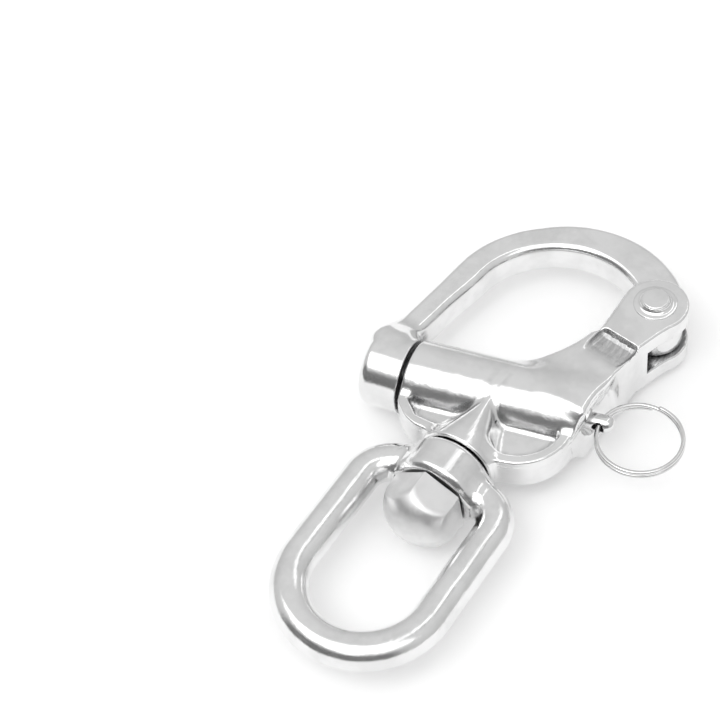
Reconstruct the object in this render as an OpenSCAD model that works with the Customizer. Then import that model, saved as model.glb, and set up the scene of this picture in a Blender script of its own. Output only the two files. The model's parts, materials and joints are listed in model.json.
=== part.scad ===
// Swivel eye snap shackle in stainless steel, the 87 mm size, lying on its side.
// The swivel axis is Y and the flat of the shackle is the XY plane.
// The origin is where a line bears in the eye: the inside of its far end.

/* [Overall] */
// Facets asked for on round faces
facets = 64; // [32:8:96]

/* [Swivel eye] */
// Diameter of the eye's round bar
eye_bar_d = 5.7; // [5:0.1:6.2]
// Clear width inside the eye
eye_inner_w = 16.3; // [15:0.1:18]
// Clear length inside the eye, from its far end to the collar
eye_inner_l = 25.8; // [25:0.1:30]
// Radius of the eye's shoulder bends, on the bar's centre line
eye_shoulder_r = 5; // [4:0.1:5.6]
// Diameter of the collar that turns on the swivel bolt
collar_d = 13; // [12:0.1:14]
// Length of the collar along the swivel axis
collar_l = 6.5; // [5.5:0.1:7]
// Chamfer on the collar's rims
collar_chamfer = 0.9; // [0.4:0.1:1.2]
// Diameter of the shoulder where it flares into the collar
eye_flare_d = 7.6; // [6.2:0.1:8]

/* [Swivel bolt] */
// Diameter of the bolt's plain shank
bolt_shank_d = 6; // [5:0.1:6.4]
// Width of the hexagon head across its flats
bolt_head_af = 10.5; // [9.5:0.1:11]
// Height of the head to the crown of its dome
bolt_head_l = 7.5; // [6:0.1:8]
// Radius of the head's dome
bolt_dome_r = 6.6; // [6.2:0.1:8]
// Turn of the hexagon about the swivel axis, in degrees
bolt_head_turn = 25; // [0:1:59]
// Length of the threaded end screwed into the body
bolt_thread_l = 9.4; // [6:0.1:9.6]

/* [Body] */
// Distance from the bearing point in the eye to the crossbar's centre line
bar_y = 46.3; // [46:0.1:50]
// Slant of the crossbar, in degrees
bar_slant = 12; // [8:0.5:13]
// Diameter of the crossbar
bar_d = 12; // [11.4:0.1:12.6]
// Reach of the crossbar to the side where the bail closes
bar_left = 14.3; // [13.5:0.1:15]
// Slant of the crossbar's closing end and of the boss, in degrees
closing_slant = 8; // [6:0.5:12]
// Reach of the crossbar to the side of the pull ring
bar_right = 12.8; // [12.4:0.1:12.9]
// Diameter of the stem at its neck, next to the collar
neck_d = 12.2; // [11.4:0.1:13]
// Diameter of the stem where it runs out in the crossbar
stem_top_d = 5.4; // [4:0.1:6.4]
// Width of the stem's crest where it meets the crossbar
crest_w = 1.6; // [1:0.1:3]
// Thickness of the thin web between rim and stem
web_t = 2.6; // [2:0.1:3.4]
// Height of the raised rim round the web
rim_t = 5.6; // [4.4:0.1:6.4]
// Width of the raised rim
rim_w = 1.7; // [1.2:0.1:2.4]
// Reach of the web's outer edge on the ring side
web_right = 13.4; // [13:0.1:13.8]
// Radius of the web's lower corner on the ring side
web_corner_r = 8.5; // [7:0.1:9.5]
// Height of the flat arm that carries the clevis
arm_t = 10.6; // [10:0.1:11]
// Height of the arm's foot along the crossbar, inside the throat
arm_foot_t = 7.2; // [6:0.1:8]
// Radius of the throat where the crossbar turns up into the arm
throat_r = 13.9; // [12:0.1:15]
// Depth of the scoop across the arm below the clevis
scoop_depth = 0.9; // [0.4:0.1:1.2]
// Radius of that scoop
scoop_r = 3; // [2.5:0.1:4]
// Depth of the clevis slot below the rivet's axis
slot_depth = 7; // [6.6:0.1:7.6]

/* [Hinge] */
// Rivet axis, measured across from the swivel axis
rivet_x = 12.9; // [12.6:0.1:13.3]
// Rivet axis, measured along the swivel axis
rivet_y = 69.9; // [69:0.1:71]
// Diameter of the rivet's shank
rivet_d = 4; // [3.4:0.1:4.4]
// Diameter of the rivet's heads at the foot
rivet_head_d = 6.7; // [6:0.1:7.2]
// Diameter of the flat on the rivet's heads
rivet_flat_d = 5.4; // [4:0.1:5.6]
// Height of the rivet's heads
rivet_head_l = 1.25; // [0.8:0.05:1.4]
// Radius of the body's ears round the rivet
ear_r = 5.2; // [4.8:0.1:5.6]
// Thickness of the bail's tongue between the ears
tongue_t = 4.3; // [3.8:0.1:4.8]
// Radius of the tongue round the rivet
tongue_r = 4.3; // [4:0.1:4.6]

/* [Bail] */
// Radius of the bail's bow, on its centre line
bow_r = 16; // [15.5:0.1:16.5]
// Centre of the bow across from the swivel axis
bow_x = -0.8; // [-1.2:0.1:-0.4]
// Centre of the bow along the swivel axis
bow_y = 62.8; // [62.4:0.1:63.4]
// Width of the bail's bar in the plane of the shackle
bail_w = 4.9; // [4.4:0.1:5.2]
// Height of the bail's bar
bail_t = 5.8; // [5.2:0.1:6]
// Radius on the bail's long edges
bail_edge_r = 1.3; // [0.8:0.1:1.8]
// Direction in which the straight leg leaves the bow, in degrees off the swivel axis
leg_lean = 8; // [6:0.5:9]
// Radius of the shoulder's outer edge, which swings wide of the bow beside the clevis
shoulder_r = 18.8; // [18.6:0.1:19.2]
// Width of the shoulder's outer band
shoulder_w = 5.6; // [5.2:0.1:6]
// Direction in which the shoulder meets the clevis, in degrees from the X axis
shoulder_at = 34; // [32:1:36]
// Diameter of the boss that takes the plunger
boss_d = 12; // [11.4:0.1:12.4]
// Length of the boss
boss_l = 6.4; // [5.8:0.1:6.8]
// Radius on the boss's outer rim
boss_edge_r = 1.6; // [1:0.1:2]
// Gap between the boss and the end of the crossbar
boss_gap = 0.8; // [0.6:0.1:1]

/* [Plunger] */
// Diameter of the plunger's head
plunger_d = 5; // [4.6:0.1:5.4]
// Diameter of the rod behind the head
rod_d = 2.7; // [2.6:0.1:3]
// Length of the plunger's head
plunger_head_l = 6.7; // [6:0.1:7]
// Distance from the swivel axis to the centre of the rod's round end
knob_at = 15.9; // [15.8:0.1:16.1]
// Distance from the swivel axis to the ring's hole across the rod
ring_hole_at = 15.2; // [15.2:0.05:15.4]
// Diameter of that hole
ring_hole_d = 1.8; // [1.7:0.05:1.8]
// Depth of the blind hole in the bail's boss
socket_depth = 2.9; // [2.6:0.1:3.2]
// Thickness of the wall that the spring pushes against
end_wall = 3.4; // [2.6:0.1:3.6]
// Depth of the countersink where the rod leaves the body
pocket_depth = 0.9; // [0.5:0.1:1]
// Wire of the spring
spring_wire_d = 0.5; // [0.4:0.05:0.6]
// Turns of the spring
spring_turns = 9; // [7:1:10]

/* [Split ring] */
// Outside diameter of the ring
ring_od = 13.4; // [12.8:0.1:14]
// Wire of the ring, which goes round twice
ring_wire_d = 0.7; // [0.6:0.05:0.75]
// Droop of the ring from the flat of the shackle, in degrees
ring_droop = 0; // [0:1:12]

/* [Clearances] */
// Between parts that turn or slide on each other, on the radius
running_gap = 0.06; // [0.03:0.01:0.1]
// Between faces that pass each other on the swivel axis
swivel_gap = 0.3; // [0.2:0.05:0.4]
// Between the tongue and each ear
ear_gap = 0.15; // [0.1:0.05:0.25]
// Between the bail's shoulder and the ears
shoulder_gap = 0.35; // [0.3:0.05:0.5]
// Round the plunger in the bail's socket, on the radius
socket_gap = 0.2; // [0.1:0.05:0.3]
// Between the plunger's tip and the boss, with the plunger drawn
tip_gap = 0.3; // [0.25:0.05:0.4]

/* [Hidden] */

$fn = facets;
steel = [0.80, 0.81, 0.82];
wire_steel = [0.70, 0.71, 0.73];
past = 1;

// Swivel eye: the bar's centre line is a half circle, two straights and two bends
eye_bar_r = eye_bar_d / 2;
eye_half_w = eye_inner_w / 2 + eye_bar_r;
eye_arc_y = eye_inner_w / 2;
shoulder_y = eye_inner_l + eye_bar_r;
bend_x = eye_half_w - eye_shoulder_r;
bend_y = shoulder_y - eye_shoulder_r;
collar_top = eye_inner_l + collar_l;
neck_y = collar_top + swivel_gap;

// Swivel bolt
head_top_y = eye_inner_l - swivel_gap;
thread_d = bolt_shank_d - 0.2;
thread_end_y = neck_y + bolt_thread_l;

// Crossbar and plunger, on the crossbar's own X axis
bar_r = bar_d / 2;
bar_end_lean = bar_slant - closing_slant;
boss_face = bar_left + boss_gap;
boss_end = boss_face + boss_l;
tip_at = boss_face - tip_gap;
plunger_shoulder = tip_at - plunger_head_l;
wall_face = bar_right - end_wall;
knob_r = rod_d / 2;
ring_hole_x = ring_hole_at * cos(bar_slant);
ring_hole_y = bar_y + ring_hole_at * sin(bar_slant);

// Hinge
slot_t = tongue_t + 2 * ear_gap;
arm_half = arm_t / 2;

// Bail: where the straight leg leaves the bow
leg_angle = 180 - leg_lean;
leg_x = bow_x + bow_r * cos(leg_angle);
leg_y = bow_y + bow_r * sin(leg_angle);
leg_l = leg_y - bar_y + 3.5;
leg_w = bail_w - 0.5;
leg_lap = 0.8;
leg_out = 0.15;
root_from = 13.6;
root_inset = 0.6;
root_flare = 1.4;
root_l = leg_l - root_from;

// Moves onto the crossbar's centre line, with X along the bar
module on_bar() {
    translate([0, bar_y, 0])
        rotate([0, 0, bar_slant])
            children();
}

// Moves onto the crossbar's closing end, turned square to its slanted face
module on_closing_end() {
    on_bar()
        translate([-bar_left, 0, 0])
            rotate([0, 0, -bar_end_lean])
                children();
}

// A round rod along the X axis, from one place to another
module rod_x(from, to, d) {
    translate([from, 0, 0])
        rotate([0, 90, 0])
            cylinder(h = to - from, d = d);
}

// A round solid on the Y axis whose profile is given as radius and height
module turned_y(y) {
    translate([0, y, 0])
        rotate([-90, 0, 0])
            rotate_extrude()
                children();
}

// A rectangle with round corners, as the section of the bail's bar
module rounded_section(w, h, r) {
    square([w - 2 * r, h], center = true);
    square([w, h - 2 * r], center = true);
    for (sx = [-1, 1], sy = [-1, 1])
        translate([sx * (w / 2 - r), sy * (h / 2 - r)])
            circle(r = r);
}

// Plan of the web under the crossbar, drawn in by an inset for its recess
module web_plan(inset) {
    corner_x = web_right - web_corner_r;
    corner_y = neck_y + 1.4 + web_corner_r;
    intersection() {
        union() {
            translate([corner_x, corner_y])
                circle(r = web_corner_r - inset);
            translate([corner_x, corner_y])
                square([web_corner_r - inset, bar_y - corner_y + 6]);
            translate([-20, corner_y - web_corner_r + inset])
                square([20 + corner_x, bar_y - corner_y + web_corner_r]);
        }
        // the slanting edge from the bar's closing end down to the neck
        translate([-13.1, 36.9])
            rotate([0, 0, -39])
                translate([-15, inset])
                    square([60, 40]);
        // the flat end face that the boss closes against
        translate([0, bar_y])
            rotate([0, 0, bar_slant])
                translate([-bar_left, 0])
                    rotate([0, 0, -bar_end_lean])
                        translate([inset, -30])
                            square([60, 60]);
    }
}

// Plan of the crest, which narrows from the neck to the crossbar's flank
module crest_plan() {
    crest_end = bar_y - 2.2;
    polygon([
        [-neck_d / 2, neck_y], [neck_d / 2, neck_y], [crest_w / 2, crest_end],
        [-crest_w / 2, crest_end]
    ]);
}

// The stem: a cone with a crest that keeps the neck's full height
module stem() {
    translate([0, neck_y, 0])
        rotate([-90, 0, 0])
            cylinder(h = bar_y - neck_y, d1 = neck_d, d2 = stem_top_d);
    intersection() {
        translate([0, neck_y, 0])
            rotate([-90, 0, 0])
                cylinder(h = bar_y - neck_y, d = neck_d - 0.2);
        linear_extrude(height = 2 * neck_d, center = true)
            crest_plan();
    }
}

// Plan of the arm that turns up from the crossbar and ends in the ears
module arm_plan() {
    inner_x = rivet_x - ear_r;
    foot_x = -4;
    foot_y = bar_y + (foot_x * sin(bar_slant) + bar_r) / cos(bar_slant);
    difference() {
        union() {
            translate([rivet_x, rivet_y])
                circle(r = ear_r);
            polygon([
                [inner_x, rivet_y], [inner_x, foot_y + 10], [foot_x, foot_y], [foot_x, bar_y],
                [web_right - 0.6, bar_y], [web_right - 0.2, bar_y + 7.6],
                [rivet_x + 3.4, rivet_y - 5.2], [rivet_x + ear_r * 0.985, rivet_y - 0.9],
                [rivet_x, rivet_y]
            ]);
        }
        translate([foot_x - 2.7, foot_y + throat_r - 0.35])
            circle(r = throat_r);
    }
}

// Side view of the arm, which rises from its foot to the full height of the ears
module arm_side() {
    low = arm_foot_t / 2;
    rise = arm_half - low;
    polygon([
        [-20, -low], [-1, -low], [2, -low - 0.12 * rise], [4.5, -low - 0.45 * rise],
        [6.6, -low - 0.85 * rise], [8, -arm_half], [30, -arm_half], [30, arm_half],
        [8, arm_half], [6.6, low + 0.85 * rise], [4.5, low + 0.45 * rise],
        [2, low + 0.12 * rise], [-1, low], [-20, low]
    ]);
}

// The arm: its plan drawn to the height of its side view
module arm() {
    intersection() {
        linear_extrude(height = arm_t, center = true)
            arm_plan();
        translate([0, bar_y - 10, 0])
            rotate([-90, 0, 0])
                linear_extrude(height = 50)
                    arm_side();
    }
}

// The scoop that parts the ear's flat from the arm, on one side
module scoop(side) {
    translate([rivet_x - 1.8, rivet_y - 10.9, side * (arm_half + scoop_r - scoop_depth)])
        rotate([0, 0, -13])
            rod_x(-12, 12, 2 * scoop_r);
}

module body() {
    color(steel)
        difference() {
            union() {
                on_bar()
                    rod_x(-bar_left - past, bar_right, bar_d);
                linear_extrude(height = web_t, center = true)
                    web_plan(0);
                linear_extrude(height = rim_t, center = true)
                    difference() {
                        web_plan(0);
                        web_plan(rim_w);
                    }
                stem();
                arm();
            }
            for (side = [-1, 1])
                scoop(side);
            // clevis slot for the bail's tongue
            translate([rivet_x - 20, rivet_y - slot_depth, -slot_t / 2])
                cube([40, 40, slot_t]);
            translate([rivet_x, rivet_y, -arm_half - past])
                cylinder(h = arm_t + 2 * past, d = rivet_d);
            // the slanted face of the closing end
            on_closing_end()
                translate([-8, -20, -20])
                    cube([8, 40, 40]);
            // plunger bore, spring seat and the hole in its end wall
            on_bar() {
                rod_x(-bar_left - past, wall_face, plunger_d + 2 * running_gap);
                rod_x(wall_face - past, bar_right + past, rod_d + 2 * running_gap);
                translate([bar_right - pocket_depth, 0, 0])
                    rotate([0, 90, 0])
                        cylinder(h = pocket_depth + 0.01, d1 = rod_d + 0.6, d2 = rod_d + 2.2);
                // flat past the bar's end, which leaves the ring room to swing
                translate([bar_right, -8.4, -10])
                    cube([8, 16.2, 20]);
            }
            // threaded hole of the swivel bolt
            translate([0, neck_y - past, 0])
                rotate([-90, 0, 0])
                    cylinder(h = bolt_thread_l + past + 0.3, d = thread_d + 0.1);
        }
}

// Half of the bail's clearance round the ears, above or below the tongue
module ear_room(side) {
    translate([rivet_x, rivet_y, side > 0 ? tongue_t / 2 : -tongue_t / 2 - 10])
        cylinder(h = 10, r = ear_r + shoulder_gap);
}

module bow() {
    translate([bow_x, bow_y, 0])
        rotate([0, 0, shoulder_at])
            rotate_extrude(angle = leg_angle - shoulder_at)
                translate([bow_r, 0])
                    rounded_section(bail_w, bail_t, bail_edge_r);
}

module leg() {
    translate([leg_x, leg_y, 0])
        rotate([90, 0, -leg_lean])
            translate([-leg_out, 0, -leg_lap])
                linear_extrude(height = leg_l + leg_lap)
                    rounded_section(leg_w, bail_t - 0.1, bail_edge_r);
}

// The boss at the closing end, a short round with a rounded outer rim
module boss() {
    on_closing_end()
        translate([-boss_gap, 0, 0])
            rotate([0, -90, 0])
                rotate_extrude() {
                    square([boss_d / 2 - boss_edge_r, boss_l]);
                    square([boss_d / 2, boss_l - boss_edge_r]);
                    translate([boss_d / 2 - boss_edge_r, boss_l - boss_edge_r])
                        circle(r = boss_edge_r);
                }
}

// Side view of half the root, whose height grows along the leg to that of the boss
module root_side() {
    low = bail_t / 2 - 0.3;
    rise = boss_d / 2 - 0.5 - low;
    steps = 8;
    polygon(concat(
        [[0, 0]],
        [for (i = [0:steps]) [root_l * 0.72 * i / steps, low + rise * (1 - cos(180 * i / steps)) / 2]],
        [[root_l, low + rise], [root_l, 0]]
    ));
}

// Plan of the root, which widens along the leg on its way to the boss
module root_plan() {
    half = leg_w / 2 - root_inset;
    steps = 8;
    polygon(concat(
        [for (i = [0:steps]) [root_l * 0.8 * i / steps,
            leg_out + half + root_inset * (1 - cos(180 * i / steps)) / 2]],
        [[root_l, leg_out + half + root_inset], [root_l, leg_out - half - root_flare]],
        [for (i = [steps:-1:0]) [root_l * 0.8 * i / steps,
            leg_out - half - root_flare * (1 - cos(180 * i / steps)) / 2]]
    ));
}

// The swelling where the leg runs into the boss
module boss_root() {
    intersection() {
        translate([leg_x, leg_y, 0])
            rotate([0, 0, -90 - leg_lean])
                translate([root_from, 0, 0])
                    intersection() {
                        linear_extrude(height = boss_d, center = true)
                            mirror([0, 1])
                                root_plan();
                        rotate([90, 0, 0])
                            linear_extrude(height = boss_d, center = true) {
                                root_side();
                                mirror([0, 1])
                                    root_side();
                            }
                    }
        on_closing_end()
            translate([-boss_gap - boss_l + 0.3, -boss_d, -boss_d])
                cube([boss_l - 0.3 + 3, 3 * boss_d, 2 * boss_d]);
    }
}

// The shoulder, whose outer edge swings wide of the bow on its way to the clevis
module shoulder() {
    translate([bow_x + 1.6, bow_y + 0.8, 0])
        rotate([0, 0, shoulder_at])
            rotate_extrude(angle = 130 - shoulder_at)
                translate([shoulder_r - shoulder_w / 2, 0])
                    rounded_section(shoulder_w, bail_t - 0.06, bail_edge_r);
}

module bail() {
    color(steel)
        difference() {
            union() {
                bow();
                leg();
                boss();
                boss_root();
                shoulder();
                translate([rivet_x, rivet_y, -tongue_t / 2])
                    cylinder(h = tongue_t, r = tongue_r);
            }
            for (side = [-1, 1])
                ear_room(side);
            translate([rivet_x, rivet_y, -tongue_t])
                cylinder(h = 2 * tongue_t, d = rivet_d + 2 * running_gap);
            on_bar()
                rod_x(-boss_face - socket_depth, -boss_face + past, plunger_d + 2 * socket_gap);
            // nothing of the leg stands in the gap or over the crossbar's end
            on_closing_end()
                translate([-boss_gap, -12, -10])
                    cube([6, 18.6, 20]);
        }
}

// Outline of half a rivet, from its middle to one head
module rivet_half() {
    square([rivet_d / 2, arm_half]);
    translate([0, arm_half])
        polygon([
            [0, 0], [rivet_head_d / 2, 0], [rivet_head_d / 2, 0.25],
            [rivet_flat_d / 2, rivet_head_l - 0.2], [rivet_flat_d / 2 - 0.35, rivet_head_l],
            [0, rivet_head_l]
        ]);
}

module hinge_rivet() {
    color(steel)
        translate([rivet_x, rivet_y, 0])
            rotate_extrude() {
                rivet_half();
                mirror([0, 1])
                    rivet_half();
            }
}

module plunger() {
    color(steel)
        difference() {
            on_bar() {
                rod_x(-tip_at + 0.4, -plunger_shoulder, plunger_d);
                translate([-tip_at, 0, 0])
                    rotate([0, 90, 0])
                        cylinder(h = 0.4, d1 = plunger_d - 0.8, d2 = plunger_d);
                rod_x(-plunger_shoulder, knob_at, rod_d);
                translate([knob_at, 0, 0])
                    sphere(r = knob_r);
            }
            // the ring's hole, drilled along the swivel axis
            translate([ring_hole_x, ring_hole_y, 0])
                rotate([90, 0, 0])
                    cylinder(h = 3 * rod_d, d = ring_hole_d, center = true);
        }
}

// A wire wound round the X axis; each ring of points faces along the wire
function coil_point(t, r, length, turns) = [
    length * t,
    r * cos(360 * turns * t),
    r * sin(360 * turns * t)
];
function coil_ring(t, r, length, turns, wire_r, sides) = [
    for (k = [0:sides - 1])
        let (
            a = 360 * turns * t,
            u = wire_r * cos(360 * k / sides),
            v = wire_r * sin(360 * k / sides),
            p = coil_point(t, r, length, turns)
        )
        [p[0] + v, p[1] + u * cos(a), p[2] + u * sin(a)]
];

// A tube skinned over rings of points, closed at both ends
module skinned(rings) {
    n = len(rings);
    m = len(rings[0]);
    polyhedron(
        points = [for (ring = rings, p = ring) p],
        faces = concat(
            [[for (k = [m - 1:-1:0]) k]],
            [for (i = [0:n - 2], k = [0:m - 1])
                [i * m + k, i * m + (k + 1) % m, (i + 1) * m + (k + 1) % m, (i + 1) * m + k]],
            [[for (k = [0:m - 1]) (n - 1) * m + k]]
        )
    );
}

module plunger_spring() {
    wire_r = spring_wire_d / 2;
    first = -plunger_shoulder + wire_r + 0.05;
    last = wall_face - wire_r - 0.05;
    mean_r = plunger_d / 2 - wire_r - 0.05;
    steps = spring_turns * 20;
    color(wire_steel)
        on_bar()
            translate([first, 0, 0])
                skinned([for (i = [0:steps])
                    coil_ring(i / steps, mean_r, last - first, spring_turns, wire_r, 8)]);
}

// The split ring: wire that goes round twice and rises by its own thickness
module split_ring() {
    wire_r = ring_wire_d / 2;
    mean_r = ring_od / 2 - wire_r;
    rise = ring_wire_d + 0.04;
    steps = 128;
    turn = 712;
    color(wire_steel)
        translate([ring_hole_x, ring_hole_y, 0])
            rotate([0, ring_droop, 0])
                translate([mean_r, 0, 0])
                    skinned([for (i = [0:steps])
                        let (
                            a = 100 + turn * i / steps,
                            s = i / steps,
                            z = rise * (min(1, max(0, (s - 0.42) / 0.16)) - 0.5)
                        )
                        [for (k = [0:7])
                            let (
                                u = mean_r + wire_r * cos(45 * k),
                                v = z + wire_r * sin(45 * k)
                            )
                            [u * cos(a), u * sin(a), v]]]);
}

module eye_bar() {
    translate([0, eye_arc_y, 0])
        rotate([0, 0, 180])
            rotate_extrude(angle = 180)
                translate([eye_half_w, 0])
                    circle(r = eye_bar_r);
    for (side = [-1, 1]) {
        translate([side * eye_half_w, eye_arc_y, 0])
            rotate([-90, 0, 0])
                cylinder(h = bend_y - eye_arc_y, r = eye_bar_r);
        translate([side * bend_x, bend_y, 0])
            rotate([0, 0, side > 0 ? 0 : 90])
                rotate_extrude(angle = 90)
                    translate([eye_shoulder_r, 0])
                        circle(r = eye_bar_r);
    }
    translate([0, shoulder_y, 0])
        rod_x(-bend_x, bend_x, eye_bar_d);
}

// Collar with chamfered rims, and the flares that lead the bar into it
module collar() {
    r = collar_d / 2;
    c = collar_chamfer;
    turned_y(eye_inner_l)
        polygon([
            [0, 0], [r - c, 0], [r, c], [r, collar_l - c], [r - c, collar_l], [0, collar_l]
        ]);
    for (side = [-1, 1])
        translate([0, shoulder_y, 0])
            rotate([0, side * 90, 0])
                cylinder(h = bend_x + 1.2, d1 = eye_flare_d + 1.6, d2 = eye_bar_d - 0.1);
}

module swivel_eye() {
    color(steel)
        difference() {
            union() {
                eye_bar();
                collar();
            }
            translate([0, eye_inner_l - past, 0])
                rotate([-90, 0, 0])
                    cylinder(h = collar_l + 2 * past, d = bolt_shank_d + 2 * running_gap);
            // flat seat for the bolt's head
            translate([0, eye_inner_l - 3, 0])
                rotate([-90, 0, 0])
                    cylinder(h = 3, d = collar_d - 0.2);
        }
}

module swivel_bolt() {
    color(steel)
        union() {
            intersection() {
                translate([0, head_top_y - bolt_head_l, 0])
                    rotate([-90, bolt_head_turn, 0])
                        cylinder(h = bolt_head_l, d = bolt_head_af / cos(30), $fn = 6);
                translate([0, head_top_y - bolt_head_l + bolt_dome_r, 0])
                    sphere(r = bolt_dome_r);
            }
            translate([0, head_top_y - 0.5, 0])
                rotate([-90, 0, 0])
                    cylinder(h = neck_y - head_top_y + 0.5, d = bolt_shank_d);
            translate([0, neck_y - 0.1, 0])
                rotate([-90, 0, 0])
                    cylinder(h = thread_end_y - neck_y + 0.1, d = thread_d);
        }
}

body();
bail();
hinge_rivet();
plunger();
plunger_spring();
split_ring();
swivel_eye();
swivel_bolt();
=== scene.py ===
# %% [markdown]
# # A stainless swivel snap shackle, dressed in Blender
#
# The working model of the shackle is already packed as a frame of rigid bodies: the cast
# body, the bail that swings open, the spring plunger with its split ring, and the eye that
# turns on a bolt. This script leaves those bodies where they are and dresses each of them
# in a finer skin. The cast pieces are the interesting ones: on the real object no edge is
# sharp, because the wax model was filleted by hand and the casting was then tumbled and
# polished. So they are written as distance fields, where a fillet is one function call.

import json
import math

import bpy
import numpy as np
from mathutils import Matrix, Vector


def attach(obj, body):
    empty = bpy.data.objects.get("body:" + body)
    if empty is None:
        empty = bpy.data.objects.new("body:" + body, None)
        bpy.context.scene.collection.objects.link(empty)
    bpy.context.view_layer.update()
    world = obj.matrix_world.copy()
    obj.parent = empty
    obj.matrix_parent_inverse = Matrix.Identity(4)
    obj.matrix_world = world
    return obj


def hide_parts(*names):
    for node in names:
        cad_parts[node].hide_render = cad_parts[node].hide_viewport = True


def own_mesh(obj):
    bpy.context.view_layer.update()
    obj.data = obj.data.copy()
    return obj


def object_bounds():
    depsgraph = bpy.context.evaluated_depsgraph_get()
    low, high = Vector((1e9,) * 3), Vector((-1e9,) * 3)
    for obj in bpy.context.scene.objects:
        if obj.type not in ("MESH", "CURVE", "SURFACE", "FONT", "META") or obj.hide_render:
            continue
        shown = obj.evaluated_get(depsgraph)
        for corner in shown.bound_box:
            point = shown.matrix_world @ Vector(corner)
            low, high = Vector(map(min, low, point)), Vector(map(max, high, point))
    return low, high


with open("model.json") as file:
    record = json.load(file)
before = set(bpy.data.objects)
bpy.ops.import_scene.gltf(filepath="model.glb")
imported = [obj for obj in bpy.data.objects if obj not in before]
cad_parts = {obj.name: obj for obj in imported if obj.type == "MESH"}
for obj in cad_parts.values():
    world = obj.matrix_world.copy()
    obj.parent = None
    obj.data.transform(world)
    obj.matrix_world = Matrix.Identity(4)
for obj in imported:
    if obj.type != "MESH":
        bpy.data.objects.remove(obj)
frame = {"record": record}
cad_lo, cad_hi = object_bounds()
MM = 0.001
print("box of the working model in mm:", [round(v / MM, 1) for v in (*cad_lo, *cad_hi)])

# %% [markdown]
# ## The camera
#
# The shackle lies on a white sheet and is seen from above its eye, in a corner of the
# picture. The camera's place and turn were fitted to the outlines of the real object. It
# stands about 30 cm away with a long lens, so the far end is hardly smaller than the near
# one. The three rows below are the camera's right, up and backward directions.

# %% Camera
CAMERA_AT = (0.10428, -0.11683, 0.24324)
CAMERA_AXES = (
    (0.83597, 0.54239, -0.08352),
    (-0.37390, 0.67434, 0.63676),
    (0.40169, -0.50109, 0.76652),
)
LENS_MM = 103.214
SENSOR_MM = 36.0


def add_camera():
    lens = bpy.data.cameras.new("camera")
    lens.lens = LENS_MM
    lens.sensor_width = SENSOR_MM
    lens.clip_start = 0.01
    lens.clip_end = 20.0
    camera = bpy.data.objects.new("camera", lens)
    bpy.context.collection.objects.link(camera)
    turn = Matrix(CAMERA_AXES).transposed().to_4x4()
    camera.matrix_world = Matrix.Translation(CAMERA_AT) @ turn
    bpy.context.scene.camera = camera
    return camera


camera = add_camera()
middle = (cad_lo + cad_hi) / 2
print("camera stands", round((camera.location - middle).length / MM), "mm from the shackle's middle")

# %% [markdown]
# ## Distance fields instead of polygons
#
# A distance field gives, for any point, how far it lies outside (+) or inside (-) a solid.
# Two fields are joined by taking the smaller value, and one is cut from another by taking
# the larger of the first and the second turned inside out. Blender's own bevels give up
# where many forms run into each other. What makes fields worth having is the seam: the
# formulas below replace the sharp edge of a join or cut by a true quarter-round of a chosen
# radius, which is just what a casting has.

# %% Joins and cuts with a rounded edge
def join(a, b, r):
    """Both solids, with a fillet of radius r in the corner between them."""
    u, v = np.maximum(r - a, 0), np.maximum(r - b, 0)
    return np.maximum(r, np.minimum(a, b)) - np.hypot(u, v)


def meet(a, b, r):
    """Only what both solids share, with the new outer edge rounded to radius r."""
    u, v = np.maximum(r + a, 0), np.maximum(r + b, 0)
    return np.minimum(-r, np.maximum(a, b)) + np.hypot(u, v)


def cut(a, b, r):
    """The first solid without the second, its new edge rounded to radius r."""
    return meet(a, -b, r)


print("a 1 mm fillet fills a square corner", round(float(-join(0, 0, 1)), 2), "mm deep")

# %% [markdown]
# ## Sections and outlines
#
# A few more helpers give the forms that are joined: a bar's section with round corners, a
# flat polygon, axes turned to a slanted piece, and a smooth change from one size to the
# next. The last one measures how much of a straight line lies inside a solid, which is a
# calliper for fields: it is used below to check each piece as soon as it is written.

# %% Sections, outlines and a calliper
def box_distance(u, v):
    """Distance from a corner whose two sides lie at u = 0 and v = 0."""
    return np.hypot(np.maximum(u, 0), np.maximum(v, 0)) + np.minimum(np.maximum(u, v), 0)


def bar_section(across, up, half_w, half_h, r):
    """Field of a bar whose section is a rectangle with round corners."""
    return box_distance(np.abs(across) - half_w + r, up - half_h + r) - r


def turned(p, origin, degrees):
    """The flat coordinates of points, measured from an origin on turned axes."""
    a = math.radians(degrees)
    x, y = p[:, 0] - origin[0], p[:, 1] - origin[1]
    return x * math.cos(a) + y * math.sin(a), y * math.cos(a) - x * math.sin(a)


def ease(x, start, stop):
    """0 before start, 1 after stop, and a smooth rise between them."""
    t = np.clip((x - start) / (stop - start), 0, 1)
    return t * t * (3 - 2 * t)


def outline(x, y, corners):
    """Field of a flat polygon, given by its corners in order."""
    best, inside = np.full(x.shape, 1e9), np.zeros(x.shape, bool)
    for (ax, ay), (bx, by) in zip(corners, corners[1:] + corners[:1]):
        ex, ey = bx - ax, by - ay
        t = np.clip(((x - ax) * ex + (y - ay) * ey) / (ex * ex + ey * ey), 0, 1)
        best = np.minimum(best, np.hypot(x - ax - t * ex, y - ay - t * ey))
        crosses = (ay > y) != (by > y)
        if ey:
            inside ^= crosses & (x < ax + (y - ay) * ex / ey)
    return np.where(inside, -best, best)


def calliper(field, start, end):
    """How much of a straight line lies inside a solid, in millimetres."""
    start, end = np.array(start, float), np.array(end, float)
    points = start + np.linspace(0, 1, 4001)[:, None] * (end - start)
    return round(float((field(points) < 0).mean() * np.linalg.norm(end - start)), 1)


ball = calliper(lambda p: np.linalg.norm(p, axis=1) - 6, (-9, 0, 0), (9, 0, 0))
print("the calliper reads", ball, "mm on a ball of 12 mm")

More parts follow.
